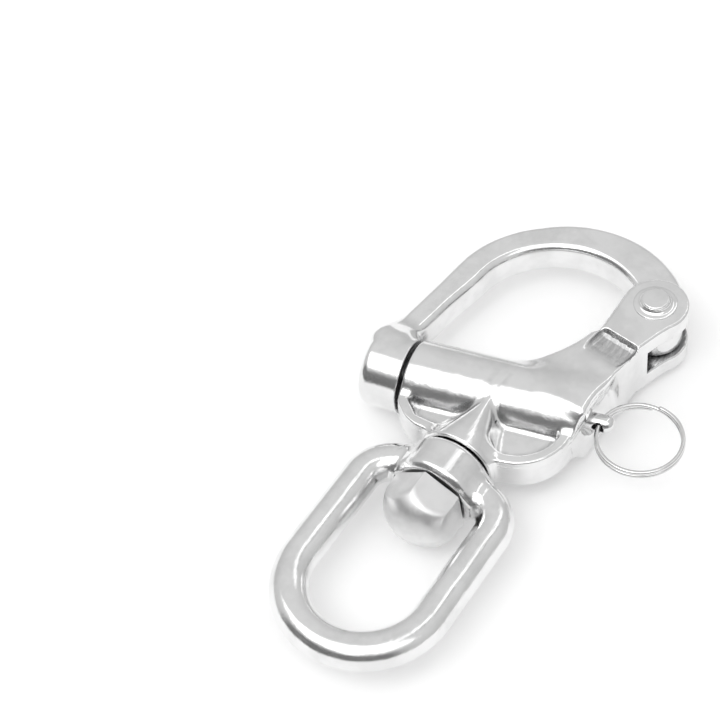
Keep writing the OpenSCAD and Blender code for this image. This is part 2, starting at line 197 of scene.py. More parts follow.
# %% [markdown]
# ## From a field to a mesh
#
# The skin is found on a grid: every grid cell that the surface passes through gets one
# vertex, and every grid edge that the surface crosses gets one quad between its four
# cells. This is the method called surface nets. It gives quads of even size, where the
# better known marching cubes gives slivers that show up in polished metal.

# %% Where the surface crosses the grid
def crossings(d, cells):
    """Where the surface crosses the grid's edges, summed up for each cell."""
    total, count, edges = np.zeros(cells + (3,)), np.zeros(cells), []
    for ax in range(3):
        u, v = (ax + 1) % 3, (ax + 2) % 3
        near, far = [slice(None)] * 3, [slice(None)] * 3
        near[ax], far[ax] = slice(0, -1), slice(1, None)
        a, b = d[tuple(near)], d[tuple(far)]
        cross = (a < 0) != (b < 0)
        t = np.where(cross, a / np.where(cross, a - b, 1), 0)
        for du in (0, 1):
            for dv in (0, 1):
                part = [slice(None)] * 3
                part[u], part[v] = slice(du, du + cells[u]), slice(dv, dv + cells[v])
                hit = cross[tuple(part)]
                count += hit
                total[..., ax] += t[tuple(part)]
                total[..., u] += hit * du
                total[..., v] += hit * dv
        edges.append((ax, u, v, cross, a < 0))
    return total, count, edges


cube = -np.ones((4, 4, 4))
cube[1:3, 1:3, 1:3] = 1
times = int(crossings(cube, (3, 3, 3))[1].sum()) // 4
print("a block of 2 x 2 x 2 grid points is crossed", times, "times")

# %% [markdown]
# ## Quads over the crossings
#
# Four cells share each crossed edge of the grid, and their vertices make one quad. Whether
# the edge starts inside the solid tells which way the quad has to face, so no normals need
# to be turned outward afterwards.

# %% Quads over the crossings
def quads_between(edges, index):
    """One quad for each crossed edge, facing out of the solid."""
    faces = []
    for ax, u, v, cross, starts_inside in edges:
        inner = [slice(None)] * 3
        inner[u], inner[v] = slice(1, -1), slice(1, -1)
        at = np.argwhere(cross[tuple(inner)])
        at[:, u] += 1
        at[:, v] += 1
        corners = []
        for du, dv in ((1, 1), (0, 1), (0, 0), (1, 0)):
            near = at.copy()
            near[:, u] -= du
            near[:, v] -= dv
            corners.append(index[tuple(near.T)])
        quad = np.stack(corners, 1)
        flip = ~starts_inside[tuple(at.T)]
        quad[flip] = quad[flip][:, ::-1]
        faces.append(quad)
    return np.concatenate(faces)


print("and gets", len(quads_between(crossings(cube, (3, 3, 3))[2], np.zeros((3, 3, 3), int))), "quads")

# %% [markdown]
# ## Polishing the mesh
#
# The vertices are slid along the field's slope until they lie exactly on the surface, and
# the slope itself becomes the shading normal, so that a quarter-millimetre mesh reflects
# like polished metal. Without that the reflections would show every quad.
#
# The field also tells where a surface lies in a hollow: a step outward from it comes near the
# metal again. That is kept as a mask on the vertices, which makes hollows duller and paints
# shade into them. Where two pieces face each other across a gap, the other one counts too.

# %% Skin a field
HOLLOW_REACH = 2.2
SLIDES = 3


def slope(field, p, h):
    """The field's gradient at points, by differences over the step h."""
    g = np.empty_like(p)
    for k in range(3):
        step = np.zeros(3)
        step[k] = h
        g[:, k] = (field(p + step) - field(p - step)) / (2 * h)
    return g


def skin(field, lo, hi, cell, near=None):
    """Vertices, quads, normals and masks of the surface where the field is zero."""
    lo, hi = np.array(lo, float), np.array(hi, float)
    n = np.ceil((hi - lo) / cell).astype(int) + 1
    axes = [lo[k] + cell * np.arange(n[k]) for k in range(3)]
    grid = np.stack(np.meshgrid(*axes, indexing="ij"), -1).reshape(-1, 3)
    total, count, edges = crossings(field(grid).reshape(n), tuple(n - 1))
    used = count > 0
    index = np.full(used.shape, -1)
    index[used] = np.arange(used.sum())
    p = lo + cell * (np.argwhere(used) + total[used] / count[used][:, None])
    for _ in range(SLIDES):
        g = slope(field, p, cell / 10)
        step = field(p) / np.maximum((g * g).sum(1), 0.3)
        p = p - np.clip(step, -cell / 2, cell / 2)[:, None] * g
    g = slope(field, p, cell / 10)
    normals = g / np.maximum(np.linalg.norm(g, axis=1), 1e-6)[:, None]
    beyond = p + HOLLOW_REACH * normals
    room = field(beyond) if near is None else np.minimum(field(beyond), near(beyond))
    # the hollow mask carries painted shade: metal near a point, also of the other piece, darkens it
    masks = {"hollow": np.clip(1 - room / HOLLOW_REACH, 0, 1)}
    print("a skin of", len(p), "vertices,", round(float(masks["hollow"].mean()) * 100), "% in hollows")
    return p, quads_between(edges, index), normals, masks


print("a hollow is noticed when metal is nearer than", HOLLOW_REACH, "mm")

# %% [markdown]
# ## From arrays to an object
#
# Blender takes the vertices and quads as plain lists. The normals go in as custom split
# normals and each mask as an attribute of the vertices, where a material can read it.

# %% Add a piece
def add_piece(name, verts, faces, normals=None, masks=None):
    """A smooth-shaded object from vertices in millimetres, with its masks as attributes."""
    mesh = bpy.data.meshes.new(name)
    mesh.from_pydata((np.asarray(verts) * MM).tolist(), [], np.asarray(faces).tolist())
    mesh.shade_smooth()
    if normals is not None:
        mesh.normals_split_custom_set_from_vertices(normals.tolist())
    for label, values in (masks or {}).items():
        mesh.attributes.new(label, "FLOAT", "POINT").data.foreach_set("value", values)
    piece = bpy.data.objects.new(name, mesh)
    bpy.context.collection.objects.link(piece)
    print(name, "has", len(faces), "faces")
    return piece


print("one unit of Blender is", round(1 / MM), "mm of the pieces")

# %% [markdown]
# ## Measures that the pieces share
#
# All of them are the working model's own, in millimetres. The swivel axis is Y, and the
# shackle lies flat in XY. The crossbar that houses the plunger is slanted by 12 degrees,
# and its closing end by 8, so two more sets of axes are needed: along the bar, and square
# to the closing face.

# %% Shared measures
BAR_AT = (0.0, 46.3)
BAR_SLANT = 12
BAR_R = 6.0
BAR_LEFT = -14.3
BAR_AXIS = np.array([math.cos(math.radians(BAR_SLANT)), math.sin(math.radians(BAR_SLANT)), 0])
CLOSING_SLANT = 8
CLOSING_AT = (BAR_AT[0] + BAR_LEFT * BAR_AXIS[0], BAR_AT[1] + BAR_LEFT * BAR_AXIS[1])
RIVET_AT = (12.9, 69.9)
RIVET_HOLE_R = 2.03
NECK_Y = 32.6
EAR_R = 5.2
EAR_TOP = 5.3
PLUNGER_R = 2.5
ROD_R = 1.35
SLIDING_FIT = 0.06


def from_rivet(x, y):
    """Flat distance from the rivet's axis."""
    return np.hypot(x - RIVET_AT[0], y - RIVET_AT[1])


print("closing face stands at", [round(float(v), 2) for v in CLOSING_AT])

# %% [markdown]
# ## The cast body: web and stem
#
# One casting holds everything: a stem that takes the swivel bolt, a thin web with a raised
# rim, the round crossbar with the plunger's bore, and an arm that rises to the two ears of
# the hinge. The web and its rim share one plan: the plate is that plan, and the rim is a
# band inside its edge. The stem keeps its height but narrows to a ridge where it meets the
# bar. A cone with a flattened tip would do it too, but here its section is an ellipse that
# gets slimmer and slimmer, so the ridge stays crisp and the neck round.

# %% Web, rim and stem
WEB_RIGHT = 13.3
WEB_FOOT_Y = 34.0
WEB_CORNER_R = 8.5
WEB_SLANT = math.radians(39)
WEB_SLANT_AT = (-13.1, 36.9)
PLATE_HALF_T = 1.3
RIM_HALF_T = 2.8
RIM_W = 1.7
STEM_STATIONS = (NECK_Y, 43.5, 46.3)
STEM_HALF_W = (6.1, 0.75, 0.6)
STEM_HALF_H = (6.1, 4.5, 3.8)
STEM_END_Y = 45.5


def web_field(p):
    x, y, z = p.T
    closing, _ = turned(p, CLOSING_AT, CLOSING_SLANT)
    _, above_bar = turned(p, BAR_AT, BAR_SLANT)
    dx, dy = x - WEB_SLANT_AT[0], y - WEB_SLANT_AT[1]
    plan = meet(x - WEB_RIGHT, WEB_FOOT_Y - y, WEB_CORNER_R)
    plan = meet(plan, -(dx * math.sin(WEB_SLANT) + dy * math.cos(WEB_SLANT)), 1.2)
    plan = meet(plan, -closing, 0.8)
    plan = np.maximum(plan, above_bar)
    plate = np.maximum(plan + 0.3, np.abs(z) - PLATE_HALF_T)
    rim = meet(np.abs(plan + RIM_W / 2) - RIM_W / 2, np.abs(z) - RIM_HALF_T, 0.45)
    return join(plate, rim, 0.7)


def stem_field(p):
    x, y, z = p.T
    w = np.interp(y, STEM_STATIONS, STEM_HALF_W)
    h = np.interp(y, STEM_STATIONS, STEM_HALF_H)
    q = np.hypot(x / w, z / h) + 1e-6
    side = q * (q - 1) / np.hypot(x / w**2, z / h**2).clip(1e-6)
    return np.maximum(meet(side, NECK_Y - y, 0.6), y - STEM_END_Y)


print("web is", calliper(web_field, (8, 37, -9), (8, 37, 9)), "mm thick")
print("stem's neck is", calliper(stem_field, (-9, 33.5, 0), (9, 33.5, 0)), "mm wide")

# %% [markdown]
# ## The cast body: arm and scoop
#
# The arm starts low inside the throat and grows to the height of the ears, so its top is
# a smooth ramp over a flat plan. The throat is one large circle taken out of that plan. The
# scoop below the ears is a hollow with a steep step at its upper end, a round floor and a
# long way out: a section drawn once and pushed across the arm, which a sculpting brush
# could never leave so crisp.

# %% Arm with its ears, and the scoop
ARM_PLAN = [
    (7.7, 69.9), (7.7, 61.58), (-4.0, 51.58), (-4.0, 46.3), (13.5, 46.3),
    (13.5, 48.5), (13.9, 52.3), (14.5, 57.0), (15.0, 61.2), (16.3, 65.0),
    (18.02, 69.0), (12.9, 69.9),
]
THROAT_AT = (-6.7, 65.13)
THROAT_R = 14.15
ARM_RISE = (-9.0, 8.6)
SCOOP_AT = (11.15, 59.0)
SCOOP_TURN = -10
SCOOP_HALF_L = 3.35
SCOOP_SECTION = [
    (2.65, 6.6), (2.6, 4.9), (2.3, 4.45), (1.7, 4.2), (0.6, 4.2), (-0.8, 4.45),
    (-2.2, 4.95), (-3.4, 5.5), (-3.4, 6.6),
]


def arm_field(p):
    x, y, z = p.T
    plan = np.minimum(outline(x, y, ARM_PLAN), from_rivet(x, y) - EAR_R)
    plan = np.maximum(plan, THROAT_R - np.hypot(x - THROAT_AT[0], y - THROAT_AT[1]))
    height = EAR_TOP * ease(x, *ARM_RISE)
    edge_r = np.interp(x, [6.0, 13.0], [1.2, 0.5])
    return meet(plan, np.abs(z) - height, edge_r)


def scoop_field(p):
    across, along = turned(p, SCOOP_AT, SCOOP_TURN)
    section = outline(along, np.abs(p[:, 2]), SCOOP_SECTION)
    return meet(section, np.abs(across) - SCOOP_HALF_L, 0.8)


print("arm is", calliper(arm_field, (12, 66, -9), (12, 66, 9)), "mm thick at the ears")
print("arm is", calliper(arm_field, (2, 52, -9), (2, 52, 9)), "mm thick in the throat")

# %% [markdown]
# ## The cast body: all of it
#
# The forms are joined with fillets of different size, the largest where the arm leaves the
# crossbar. Then come the cuts in the order of the workshop: scoop and slot are in the
# casting, the rivet's hole and the closing face are machined, and last come the plunger's
# bore, its rod's hole with a countersink, and the bolt's hole.

# %% Field of the body
BAR_CAP_X = 13.5
SLOT_FLOOR_Y = 62.9
SLOT_HALF_T = 2.3
RING_WALL_X, RING_WALL_FLARE = 12.9, 0.27
RING_WALL_Y, RING_WALL_HALF = 49.4, 6.6
BORE_END_S = 9.4
ROD_HOLE_FROM_S = 9.0
SINK_R, SINK_FROM_S = 1.6, 11.6
BOLT_HOLE_R = 2.95
BOLT_HOLE_END_Y = 42.3


def body_field(p):
    x, y, z = p.T
    az = np.abs(z)
    s, t = turned(p, BAR_AT, BAR_SLANT)
    r = np.hypot(t, z)
    closing, _ = turned(p, CLOSING_AT, CLOSING_SLANT)
    solid = join(web_field(p), stem_field(p), 1.8)
    solid = join(solid, meet(r - BAR_R, x - BAR_CAP_X, 0.4), 0.9)
    solid = join(solid, arm_field(p), 1.6)
    # scoop below the ears, slot between them and the rivet's hole
    solid = cut(solid, scoop_field(p), 0.3)
    solid = cut(solid, np.maximum(SLOT_FLOOR_Y - y, az - SLOT_HALF_T), 0.35)
    solid = np.maximum(solid, RIVET_HOLE_R - from_rivet(x, y))
    # the flat face at the closing end, and the hollow wall where the ring swings
    solid = meet(solid, -closing, 0.5)
    hollow = meet(RING_WALL_X + RING_WALL_FLARE * az - x, np.abs(y - RING_WALL_Y) - RING_WALL_HALF, 1.0)
    solid = cut(solid, np.maximum(hollow, x - 20), 0.3)
    # bore of the plunger, hole of its rod with a countersink, and the bolt's hole
    bore = np.maximum(r - PLUNGER_R - SLIDING_FIT, s - BORE_END_S)
    sink = np.maximum(r - SINK_R - (s - SINK_FROM_S) * 0.5, SINK_FROM_S - s)
    rod_hole = np.maximum(r - ROD_R - SLIDING_FIT, ROD_HOLE_FROM_S - s)
    solid = cut(solid, np.minimum(bore, np.minimum(sink, rod_hole)), 0.12)
    bolt_hole = np.maximum(np.hypot(x, z) - BOLT_HOLE_R, y - BOLT_HOLE_END_Y)
    return np.maximum(solid, -bolt_hole)


ears = calliper(body_field, (RIVET_AT[0] + 3, RIVET_AT[1], -9), (RIVET_AT[0] + 3, RIVET_AT[1], 9))
print("the two ears are", ears, "mm thick together")

# %% [markdown]
# ## The bail
#
# The bail is the hook's gate and its bow in one: a bar of nearly square section that is
# hinged between the ears, swings wide as a shoulder, bends round the bow and runs down a
# straight leg. The leg narrows a little, then swells into the round boss. A curve with a
# bevel would follow the bend, but it couldn't change its width on one side only. So the
# bend is one band between two edges, and each edge passes from one circle to another.

# %% Band and leg of the bail
BOW_AT = (-0.8, 62.8)
BOW_R = 16.0
BOW_FROM, BOW_TO = 33, 176
SHOULDER_AT = (0.8, 63.6)
SHOULDER_OUT_R = 18.8
SHOULDER_IN_R = 13.2
LEG_AT = (-16.645, 65.027)
LEG_LEAN = math.radians(8)
BAIL_HALF_W = 2.45
BAIL_HALF_T = 2.9
BAIL_EDGE_R = 1.3


def between_angles(x, y, start, stop):
    """Field of a wedge that opens at the origin from one direction to another."""
    a, b = math.radians(start), math.radians(stop)
    return np.maximum(x * math.sin(a) - y * math.cos(a), y * math.cos(b) - x * math.sin(b))


def band_field(p):
    """The shoulder and the bow."""
    bx, by = p[:, 0] - BOW_AT[0], p[:, 1] - BOW_AT[1]
    sx, sy = p[:, 0] - SHOULDER_AT[0], p[:, 1] - SHOULDER_AT[1]
    from_bow, from_shoulder = np.hypot(bx, by) - BOW_R, np.hypot(sx, sy)
    outer = np.minimum(from_bow - BAIL_HALF_W, from_shoulder - SHOULDER_OUT_R)
    # the shoulder's inner circle opens out of the way as the band turns into the bow
    widen = 3.0 * ease(np.degrees(np.arctan2(sy, sx)) % 360, 70, 150)
    hole = meet(from_bow + BAIL_HALF_W, from_shoulder - SHOULDER_IN_R - widen, 0.8)
    band = meet(np.maximum(outer, -hole), np.abs(p[:, 2]) - BAIL_HALF_T, BAIL_EDGE_R)
    return np.maximum(band, between_angles(bx, by, BOW_FROM, BOW_TO))


def leg_axes(p):
    """Distance down the leg from the bow, and outward from its centre line."""
    dx, dy = p[:, 0] - LEG_AT[0], p[:, 1] - LEG_AT[1]
    sine, cosine = math.sin(LEG_LEAN), math.cos(LEG_LEAN)
    return -dx * sine - dy * cosine, dy * sine - dx * cosine


def leg_field(p):
    along, out = leg_axes(p)
    outer = 2.45 - 0.1 * ease(along, 0, 8)
    inner = 2.5 - 0.45 * ease(along, 0, 9) + 0.8 * ease(along, 14, 20.5)
    height = BAIL_HALF_T - 0.05 * ease(along, 0, 6) + 2.65 * ease(along, 13.4, 20.4)
    centre, half_w = (outer - inner) / 2, (outer + inner) / 2
    bar = bar_section(out - centre, np.abs(p[:, 2]), half_w, height, BAIL_EDGE_R)
    return meet(np.maximum(bar, -along - 1.2), along - 22.2, 1.5)


print("bow is", calliper(band_field, (-1, 70, 0), (-1, 90, 0)), "mm wide")
print("leg is", calliper(leg_field, (-25, 58, 0), (-5, 58, 0)), "mm wide")

# %% [markdown]
# ## The bail: boss, tongue and socket
#
# The boss continues the crossbar beyond a gap of less than half a millimetre, and its blind
# hole catches the plunger. The tongue is a thin disc that fills the slot between the ears.
# The body's ears need room in the bail's bar, so a slightly larger disc is cut from it
# above and below the tongue. The two castings are skinned together, because each one's
# mask of hollows and painted shade looks at the other.

# %% Field of the bail, and both skins
TONGUE_R = 4.3
TONGUE_HALF_T = 2.15
EAR_ROOM = 0.35
BOSS_L = 7.2
CLOSING_GAP = 0.45
SOCKET_R = 2.7
SOCKET_FROM_S, SOCKET_TO_S = -18.0, -14.1


def bail_field(p):
    x, y, z = p.T
    az = np.abs(z)
    hinge = from_rivet(x, y)
    solid = cut(band_field(p), np.maximum(hinge - EAR_R - EAR_ROOM, TONGUE_HALF_T - az), 0.5)
    solid = join(solid, meet(hinge - TONGUE_R, az - TONGUE_HALF_T, 0.3), 0.2)
    # boss on the closing end, with a generous round on its outer rim
    c, f = turned(p, CLOSING_AT, CLOSING_SLANT)
    boss = meet(meet(np.hypot(f, z) - BAR_R, -BOSS_L - c, 1.6), c + CLOSING_GAP, 0.3)
    _, out = leg_axes(p)
    leg = meet(join(leg_field(p), boss, 1.2), out - 2.5, 0.4)
    # nothing of the leg may reach over to the crossbar
    beside_bar = np.maximum.reduce([-CLOSING_GAP - c, c - 5.2, f - 6.6, -12 - f])
    solid = np.minimum(solid, cut(leg, beside_bar, 0.3))
    solid = np.maximum(solid, RIVET_HOLE_R - hinge)
    s, t = turned(p, BAR_AT, BAR_SLANT)
    socket = np.maximum.reduce([np.hypot(t, z) - SOCKET_R, SOCKET_FROM_S - s, s - SOCKET_TO_S])
    return cut(solid, socket, 0.15)


# each skin's hollow mask, which paints shade, also counts the other casting's metal
body_skin = skin(body_field, (-15.2, 32.1, -6.4), (18.8, 75.6, 6.4), 0.26, bail_field)
bail_skin = skin(bail_field, (-22.6, 35.8, -6.4), (18.2, 83.0, 6.4), 0.25, body_field)

# %% [markdown]
# ## The swivel eye
#
# The eye is one round bar bent to a long loop, with a collar at its flat end that turns on
# the bolt. The loop's centre line is a half circle at the far end and a rounded corner at
# each near one, so the distance to it is a formula and needs no curve object. The flares
# that lead the bar into the collar leave V-shaped valleys, which catch the light.

# %% Field of the eye
EYE_HALF_W = 11.0
EYE_BAR_R = 2.85
EYE_ARC_Y = 8.15
CROSS_Y = 28.65
BEND_R = 5.0
FLARE_R, FLARE_TAPER, FLARE_REACH = 4.6, 0.24, 7.2
COLLAR_FROM_Y, COLLAR_TO_Y = 25.8, 32.3
COLLAR_R = 6.5
COLLAR_CHAMFER = 0.9
SEAT_R, SEAT_FROM_Y = 6.4, 22.8
EYE_BORE_R = 3.06


def eye_field(p):
    x, y, z = p.T
    ax = np.abs(x)
    far_arc = np.hypot(x, y - EYE_ARC_Y) - EYE_HALF_W
    near_end = box_distance(ax - EYE_HALF_W + BEND_R, y - CROSS_Y + BEND_R) - BEND_R
    bar = np.hypot(np.where(y < EYE_ARC_Y, far_arc, near_end), z) - EYE_BAR_R
    flare = np.hypot(y - CROSS_Y, z) - FLARE_R + ax * FLARE_TAPER
    flare = np.maximum(flare, ax - FLARE_REACH)
    r = np.hypot(x, z)
    ends = np.maximum(COLLAR_FROM_Y - y, y - COLLAR_TO_Y)
    collar = meet(r - COLLAR_R, ends, 0.25)
    collar = meet(collar, (r - COLLAR_R + ends + COLLAR_CHAMFER) * math.sqrt(0.5), 0.3)
    solid = join(join(bar, flare, 0.5), collar, 0.9)
    # the flat seat of the bolt's head, and the bore for its shank
    seat = np.maximum(r - SEAT_R, np.maximum(SEAT_FROM_Y - y, y - COLLAR_FROM_Y))
    solid = cut(solid, seat, 0.2)
    return cut(solid, np.where(y > 20, r, 99.0) - EYE_BORE_R, 0.15)


eye_skin = skin(eye_field, (-14.2, -6.1, -6.9), (14.2, 32.7, 6.9), 0.27)
print("eye's bar is", calliper(eye_field, (5, 15, 0), (20, 15, 0)), "mm thick")

# %% [markdown]
# ## The swivel bolt
#
# The bolt has a domed hexagon head inside the eye, a plain shank through the collar, and a
# thread screwed into the body's stem. The head is where three pairs of parallel faces and
# a ball overlap, which is how a turned hexagon bar gets its dome. The thread can't be seen,
# but it costs one line here: its ridge is a triangle wave along a helix.

# %% Field of the bolt
HEAD_HALF_AF = 5.25
HEAD_TURN = 5
HEAD_FROM_Y, HEAD_TO_Y = 18.0, 25.5
DOME_Y, DOME_R = 24.6, 6.6
SHANK_R = 3.0
THREAD_ROOT_R, THREAD_DEPTH, THREAD_PITCH = 2.42, 0.45, 1.0
THREAD_END_Y = 41.9


def bolt_field(p):
    x, y, z = p.T
    sides = [math.radians(HEAD_TURN + 60 * k) for k in range(3)]
    hexagon = np.maximum.reduce([np.abs(x * math.cos(a) + z * math.sin(a)) for a in sides])
    dome = np.sqrt(x * x + (y - DOME_Y) ** 2 + z * z) - DOME_R
    head = meet(hexagon - HEAD_HALF_AF, np.maximum(HEAD_FROM_Y - y, y - HEAD_TO_Y), 0.25)
    r = np.hypot(x, z)
    shank = np.maximum(r - SHANK_R, np.maximum(24.0 - y, y - NECK_Y))
    turn = (y / THREAD_PITCH - np.arctan2(z, x) / (2 * math.pi)) % 1.0
    ridge = THREAD_ROOT_R + 2 * THREAD_DEPTH * np.abs(turn - 0.5)
    thread = np.maximum((r - ridge) * 0.75, np.maximum(NECK_Y - 0.2 - y, y - THREAD_END_Y))
    return np.minimum(join(meet(head, dome, 0.35), shank, 0.15), thread)


bolt_skin = skin(bolt_field, (-6.6, 17.7, -6.6), (6.6, 42.2, 6.6), 0.2)
print("bolt is", calliper(bolt_field, (0, 10, 0), (0, 50, 0)), "mm long")

# %% [markdown]
# ## The plunger
#
# The plunger is a turned pin: a thick head that bridges the gap into the boss, a thin rod
# with a round end, and a cross hole for the ring. It is written on the crossbar's own axes,
# where it is a few cylinders, and turned into place afterwards. The hole runs parallel to
# the swivel axis and not square to the pin, so that the ring lies flat.

# %% Field of the plunger, on the crossbar's axes
TIP_S = -14.8
HEAD_END_S = -8.1
ROD_END_S = 15.9
RING_HOLE_S = 15.2
RING_HOLE_R = 0.9


def plunger_field(p):
    s, t, z = p.T
    r = np.hypot(t, z)
    head = meet(r - PLUNGER_R, np.maximum(TIP_S - s, s - HEAD_END_S), 0.4)
    rod = np.hypot(np.maximum(s - ROD_END_S, 0), r) - ROD_R
    solid = join(head, np.maximum(rod, HEAD_END_S - 0.5 - s), 0.2)
    hole = np.hypot((s - RING_HOLE_S) * BAR_AXIS[0] - t * BAR_AXIS[1], z) - RING_HOLE_R
    return cut(solid, hole, 0.15)


def on_crossbar(v):
    """Turns points or directions from the crossbar's axes to the shackle's."""
    cosine, sine, _ = BAR_AXIS
    return v @ np.array([[cosine, sine, 0], [-sine, cosine, 0], [0, 0, 1]])


verts, faces, normals, masks = skin(plunger_field, (-15.1, -2.8, -2.8), (17.6, 2.8, 2.8), 0.15)
plunger_skin = (on_crossbar(verts) + (*BAR_AT, 0), faces, on_crossbar(normals), masks)
print("plunger is", calliper(plunger_field, (-20, 0, 1), (20, 0, 1)), "mm long beside its axis")

# %% [markdown]
# ## The rivet
#
# The rivet is a lathe profile spun round its axis. Its heads have a round rim with a soft
# flat in the middle, and a skirt that the riveting hammer spread, hollow on the way down.
# Blender's Spin or Screw would do the same, but the profile is so short that the rings of
# points are easier to read as a loop.

# %% Rivet on the lathe
LATHE_SIDES = 96


def tube_faces(rings, sides):
    """Quads between neighbouring rings of points, each ring closed on itself."""
    faces = []
    for i in range(rings - 1):
        for k in range(sides):
            k2 = (k + 1) % sides
            faces.append((i * sides + k, i * sides + k2, (i + 1) * sides + k2, (i + 1) * sides + k))
    return faces


def half_rivet():
    """From the head's middle down to the middle of the shank, as (radius, height)."""
    head = [(0.001, 6.54), (1.0, 6.53), (1.7, 6.50)]
    for k in range(1, 7):
        a = math.radians(90 - 14 * k)
        head.append((1.78 + 0.32 * math.cos(a), 6.18 + 0.32 * math.sin(a)))
    for k in range(9):
        a = math.radians(180 + 10 * k)
        head.append((3.02 + 0.88 * math.cos(a), 6.28 + 0.80 * math.sin(a)))
    return head + [(3.22, 5.47), (3.33, 5.40), (3.33, 5.32), (3.2, 5.301), (2.0, 5.30), (2.0, 0.0)]


def lathe(profile, centre):
    """Spins a profile of (radius, height) pairs, given from the top down."""
    angles = np.linspace(0, 2 * math.pi, LATHE_SIDES, endpoint=False)
    verts = [
        (centre[0] + r * math.cos(a), centre[1] + r * math.sin(a), h)
        for r, h in profile for a in angles
    ]
    return verts, [face[::-1] for face in tube_faces(len(profile), LATHE_SIDES)]


upper = half_rivet()
rivet_skin = lathe(upper + [(r, -h) for r, h in reversed(upper[:-1])], RIVET_AT)
print("rivet is", round(2 * upper[0][1], 1), "mm long over its heads")

# %% [markdown]
# ## The split ring
#
# The ring is a wire that goes round twice and climbs by its own thickness on the way, so
# that the two turns lie on each other. It is swept: a ring of points stands square to the
# path at every step. A curve with a bevel would do it too. Here the sweep is written out,
# because the spring needs it as well, and both ends get a small round.

# %% Ring by sweeping a wire
RING_R = 6.35
RING_WIRE_R = 0.345
RING_CLIMB = 0.74
RING_STEPS = 420


def wire(points, r, up=(0.0, 0.0, 1.0), sides=16):
    """A round wire along a path that never runs in the direction up."""
    along = np.gradient(points, axis=0)
    along /= np.linalg.norm(along, axis=1)[:, None]
    side = np.cross(along, np.array(up))
    side /= np.linalg.norm(side, axis=1)[:, None]
    lift = np.cross(side, along)
    verts = []
    n = len(points)
    for i in range(n):
        # the two cut ends are rounded off
        size = r * (0.55, 0.88, 1.0)[min(i, n - 1 - i, 2)]
        for k in range(sides):
            a = 2 * math.pi * k / sides
            verts.append(points[i] + size * (side[i] * math.cos(a) + lift[i] * math.sin(a)))
    return np.array(verts), tube_faces(n, sides)


share = np.linspace(0, 1, RING_STEPS + 1)
angle = np.radians(100 + 712 * share)
ring_path = np.stack([
    BAR_AT[0] + RING_HOLE_S * BAR_AXIS[0] + RING_R * (1 + np.cos(angle)),
    BAR_AT[1] + RING_HOLE_S * BAR_AXIS[1] + RING_R * np.sin(angle),
    RING_CLIMB * (ease(share, 0.40, 0.60) - 0.5),
], 1)
ring_skin = wire(ring_path, RING_WIRE_R)
print("ring is", round(2 * (RING_R + RING_WIRE_R), 1), "mm across")

# %% [markdown]
# ## The plunger's spring
#
# A compression spring sits round the rod, between the plunger's head and the end wall of
# the bore. It is the same sweep along a helix on the crossbar's axis. Its pitch eases to
# almost nothing at both ends, which are closed on a real spring so that they sit flat.

# %% Spring
SPRING_FROM_S, SPRING_TO_S = -7.8, 9.1
SPRING_R = 2.2
SPRING_WIRE_R = 0.25
SPRING_TURNS = 9
SPRING_STEPS = 540

share = np.linspace(0, 1, SPRING_STEPS + 1)
turn = 2 * math.pi * SPRING_TURNS * share
spring_path = np.stack([
    SPRING_FROM_S + (SPRING_TO_S - SPRING_FROM_S) * (0.12 * share + 0.88 * ease(share, 0.02, 0.98)),
    SPRING_R * np.cos(turn),
    SPRING_R * np.sin(turn),
], 1)
verts, faces = wire(spring_path, SPRING_WIRE_R, up=(1.0, 0.0, 0.0), sides=12)
spring_skin = (on_crossbar(verts) + (*BAR_AT, 0), faces)
print("spring is", round(SPRING_TO_S - SPRING_FROM_S, 1), "mm long with", SPRING_TURNS, "turns")

# %% [markdown]
# ## Give every skin its body and its node
#
# Each fine skin stands for one node of the working model and rides on that node's body, so
# it follows every joint. The plunger's spring rests on the end wall of its bore and gets a
# mesh of its own. The plunger's full travel is 1.6 mm.

# %% Pieces
SKINS = {
    "body_casting": (body_skin, "body"),
    "bail_casting": (bail_skin, "bail"),
    "eye_casting": (eye_skin, "swivel_eye"),
    "bolt_turned": (bolt_skin, "swivel_bolt"),
    "plunger_turned": (plunger_skin, "plunger"),
    "rivet_turned": (rivet_skin, "hinge_rivet"),
    "ring_wire": (ring_skin, "split_ring"),
    "spring_wire": (spring_skin, "plunger_spring"),
}
body_of_node = {
    node: body for body, nodes in frame["record"]["behaviour"]["bodies"].items() for node in nodes
}
pieces = {}
for name, (made, node) in SKINS.items():
    piece = add_piece(name, *made)
    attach(piece, body_of_node[node])
    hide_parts(node)
    pieces[name] = piece

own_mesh(pieces["spring_wire"])

# %% [markdown]
# ## Nodes for surface patterns
#
# Every pattern on the metal and in the tent is a noise whose values are stretched to a
# chosen range and mixed. These helpers add one node each and return the socket that leaves
# it, so that a pattern reads like a formula instead of a tangle of links.

# %% Node helpers
def add_group(name, inputs, outputs):
    group = bpy.data.node_groups.new(name, "ShaderNodeTree")
    for label, kind, value in inputs:
        socket = group.interface.new_socket(label, in_out="INPUT", socket_type=kind)
        socket.default_value = value
    for label, kind in outputs:
        group.interface.new_socket(label, in_out="OUTPUT", socket_type=kind)
    return group, group.nodes.new("NodeGroupInput"), group.nodes.new("NodeGroupOutput")


def noise(tree, vector, scale, detail=2.0, rough=0.5):
    node = tree.nodes.new("ShaderNodeTexNoise")
    node.inputs["Detail"].default_value = detail
    node.inputs["Roughness"].default_value = rough
    tree.links.new(vector, node.inputs["Vector"])
    if isinstance(scale, (int, float)):
        node.inputs["Scale"].default_value = scale
    else:
        tree.links.new(scale, node.inputs["Scale"])
    return node.outputs["Fac"]


def math_node(tree, kind, a, b=None, c=None):
    node = tree.nodes.new("ShaderNodeMath")
    node.operation = kind
    for socket, value in zip(node.inputs, (a, b, c)):
        if isinstance(value, (int, float)):
            socket.default_value = value
        elif value is not None:
            tree.links.new(value, socket)
    return node.outputs[0]


